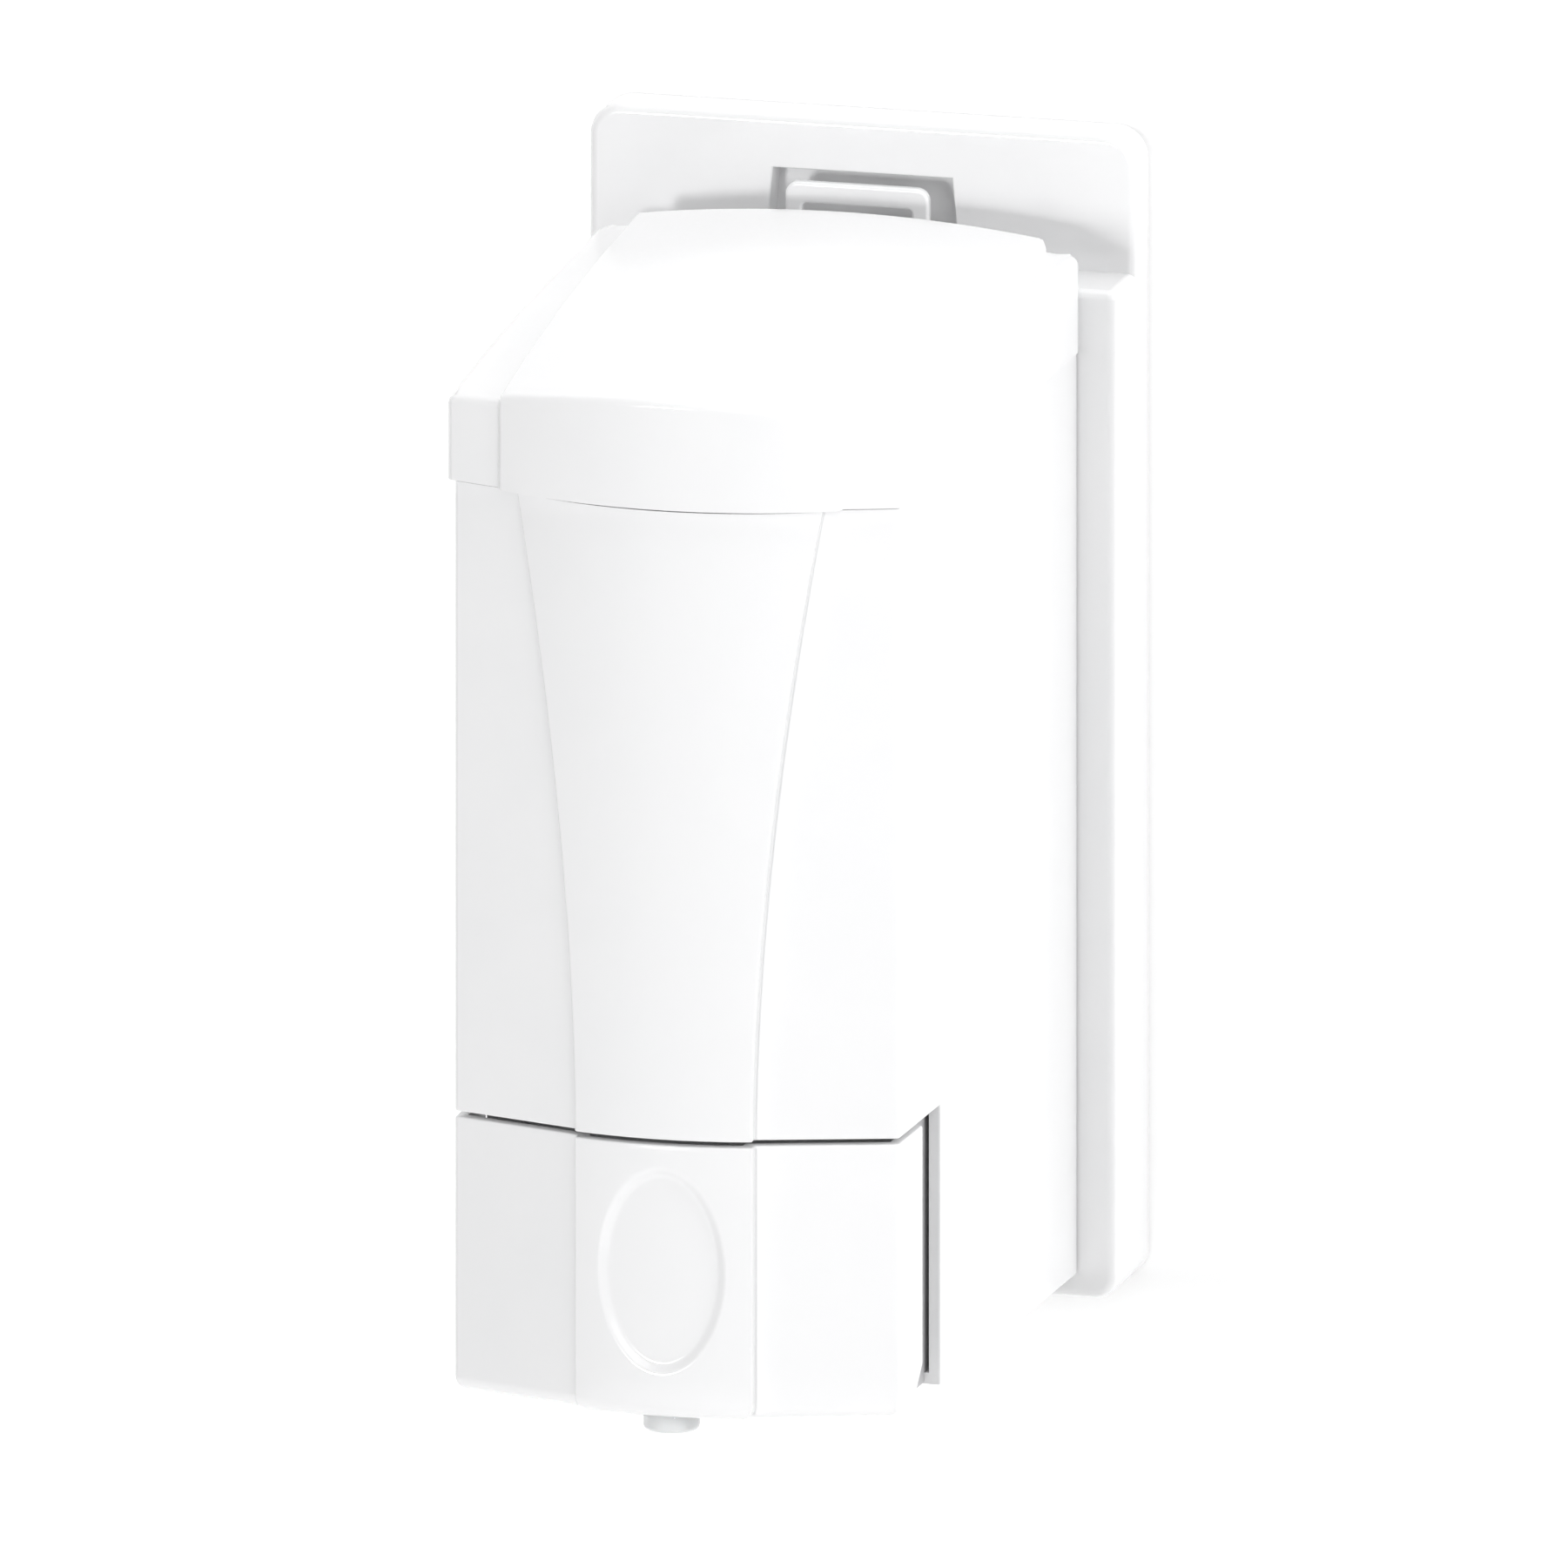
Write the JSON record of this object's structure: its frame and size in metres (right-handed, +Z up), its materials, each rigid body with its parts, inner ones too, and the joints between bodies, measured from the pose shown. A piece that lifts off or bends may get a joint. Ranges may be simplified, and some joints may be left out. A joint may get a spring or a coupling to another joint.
{
  "type": "wall mounted soap dispenser",
  "caption": "Wall mounted liquid soap dispenser: housing hooked on a deep wall plate, hinged refill lid, sprung push panel driving a piston pump, and a sprung release latch.",
  "frame": {"origin": "centre of the four wall screw holes, on the wall plane at the back of the wall plate", "axes": "+Z up, -Y out of the wall towards the user, +X to the user's right; the wall is the plane Y = 0"},
  "size_m": [0.12, 0.1772, 0.25],
  "materials": {
    "white_abs": "glossy moulded white ABS",
    "natural_pp": "milky natural polypropylene",
    "grey_acetal": "plain moulded light grey plastic",
    "clear_nozzle": "translucent moulded tip",
    "seal_rubber": "soft moulded rubber",
    "steel": "bright stainless wire and turned steel"
  },
  "bodies": {
    "wall_unit": {"wall_plate": "white_abs", "latch_pin": "steel", "latch_spring": "steel", "housing": "white_abs", "housing_back": "white_abs", "back_screws": "steel", "lid_pins": "steel", "panel_springs": "steel", "pump_bracket": "grey_acetal", "bracket_screws": "steel", "guide_bushes": "grey_acetal", "reservoir": "natural_pp", "strainer": "natural_pp", "neck_seal": "seal_rubber", "pump_body": "natural_pp", "pump_cap": "grey_acetal", "inlet_valve": "seal_rubber", "pump_spring": "steel"},
    "refill_lid": {"lid": "white_abs"},
    "push_unit": {"push_panel": "white_abs", "guide_rods": "steel", "rod_clips": "steel", "plunger": "grey_acetal", "piston": "grey_acetal", "piston_seal": "seal_rubber", "nozzle_head": "natural_pp", "outlet_valve": "seal_rubber", "nozzle": "clear_nozzle"},
    "latch": {"release_latch": "white_abs"}
  },
  "joints": [
    {"name": "lid_hinge", "type": "hinge", "parent": "wall_unit", "child": "refill_lid", "pos_m": [0, -0.033, 0.101], "axis": [-1, 0, 0], "range_deg": [0, 85]},
    {"name": "panel_push", "type": "slide", "parent": "wall_unit", "child": "push_unit", "axis": [0, 1, 0], "range_m": [0, 0.012], "stiffness_N_per_m": 600, "springref_m": -0.008, "deforming": ["panel_springs", "pump_spring"]},
    {"name": "latch_swing", "type": "hinge", "parent": "wall_unit", "child": "latch", "pos_m": [0, -0.01385, 0.06], "axis": [-1, 0, 0], "range_deg": [0, 8], "stiffness_Nm_per_rad": 0.5, "springref_deg": -5.73, "deforming": ["latch_spring"]}
  ]
}
